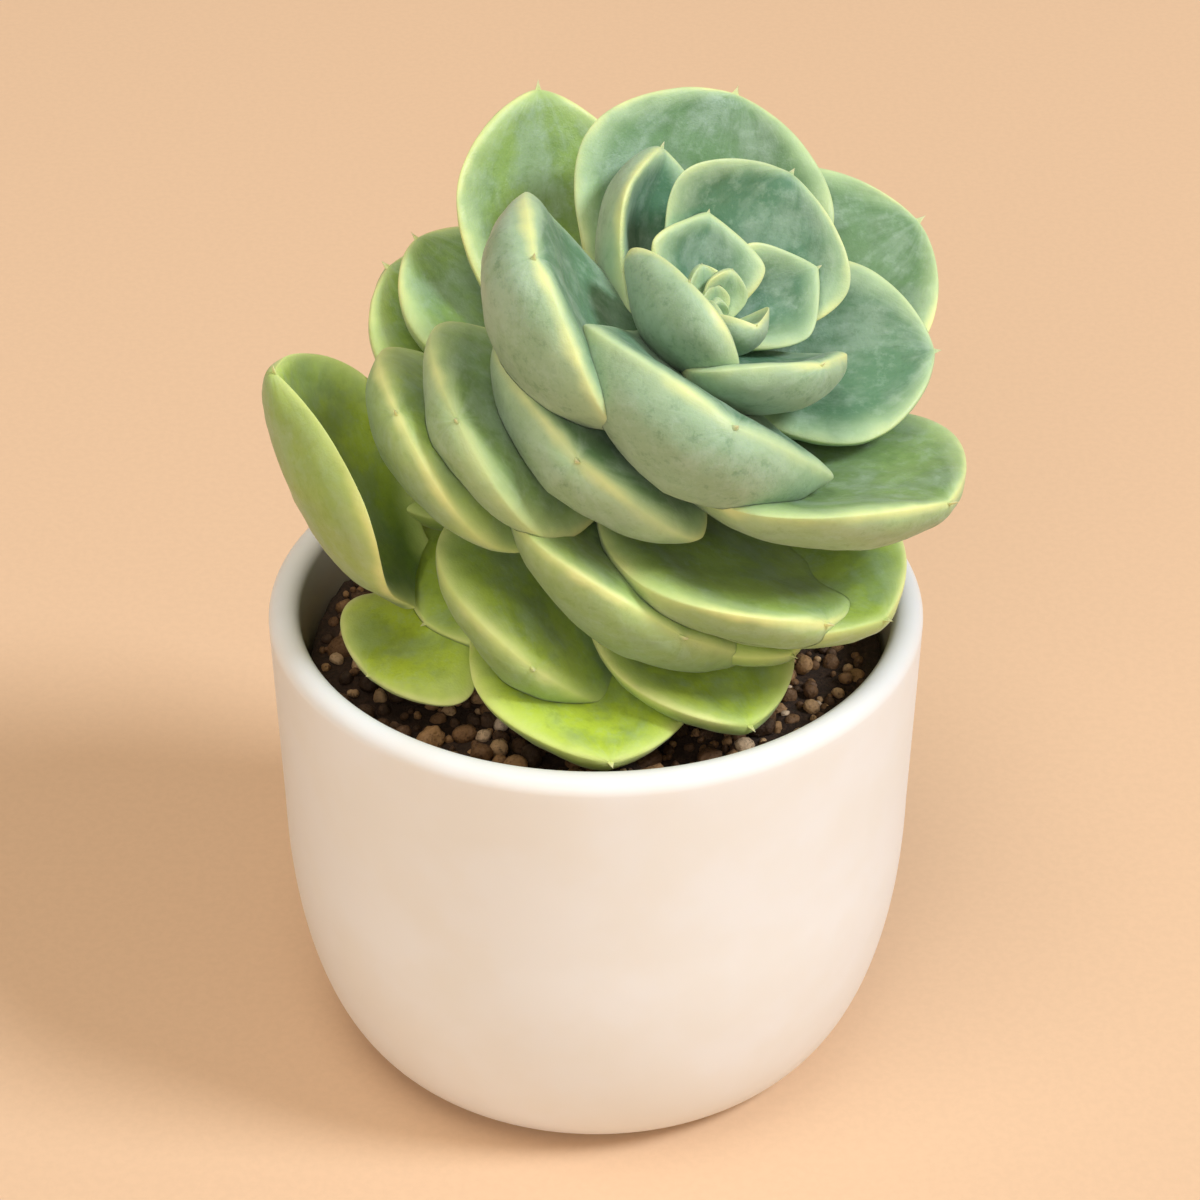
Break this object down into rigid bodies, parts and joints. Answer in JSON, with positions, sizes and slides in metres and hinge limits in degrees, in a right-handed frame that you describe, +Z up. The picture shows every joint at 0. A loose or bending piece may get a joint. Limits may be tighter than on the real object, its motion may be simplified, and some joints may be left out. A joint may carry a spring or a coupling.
{
  "type": "potted succulent plant",
  "caption": "Rosette of thick, incurved succulent leaves on a short leaning stem, growing in a round-bottomed white pot filled with gritty potting mix.",
  "frame": {"origin": "centre of the pot's flat base, on the surface it stands on", "axes": "+Z up along the pot's axis, +X to the right and -Y to the front, the side that the rosette faces"},
  "size_m": [0.0823, 0.081, 0.1193],
  "materials": {
    "pot": "smooth satin off-white",
    "soil": "gritty, matte, dark brown with tan grains",
    "stem": "matte",
    "leaf_inner": "bluish green with a powdery bloom",
    "leaf_middle": "grey-green with pale yellow margins and a powdery bloom",
    "leaf_lower": "yellow-green, satin, pale margins"
  },
  "bodies": {
    "root": {"pot": "pot", "soil": "soil", "stem": "stem", "heart": "leaf_inner", "leaf_01": "leaf_inner", "leaf_02": "leaf_inner", "leaf_03": "leaf_inner", "leaf_04": "leaf_inner", "leaf_05": "leaf_inner", "leaf_06": "leaf_inner", "leaf_07": "leaf_inner", "leaf_08": "leaf_middle", "leaf_09": "leaf_middle", "leaf_10": "leaf_middle", "leaf_11": "leaf_middle", "leaf_12": "leaf_middle", "leaf_13": "leaf_middle", "leaf_14": "leaf_middle", "leaf_15": "leaf_middle", "leaf_16": "leaf_middle", "leaf_17": "leaf_middle", "leaf_18": "leaf_middle", "leaf_19": "leaf_middle", "leaf_20": "leaf_lower", "leaf_21": "leaf_lower", "leaf_22": "leaf_lower", "leaf_23": "leaf_lower", "leaf_24": "leaf_lower", "leaf_25": "leaf_lower", "leaf_26": "leaf_lower", "leaf_27": "leaf_lower", "leaf_28": "leaf_lower", "leaf_29": "leaf_lower", "leaf_30": "leaf_lower", "leaf_31": "leaf_middle", "leaf_32": "leaf_middle", "leaf_33": "leaf_middle", "leaf_34": "leaf_middle", "leaf_35": "leaf_lower", "leaf_36": "leaf_lower", "leaf_37": "leaf_lower", "leaf_38": "leaf_lower", "leaf_39": "leaf_lower", "leaf_40": "leaf_lower"}
  },
  "joints": []
}
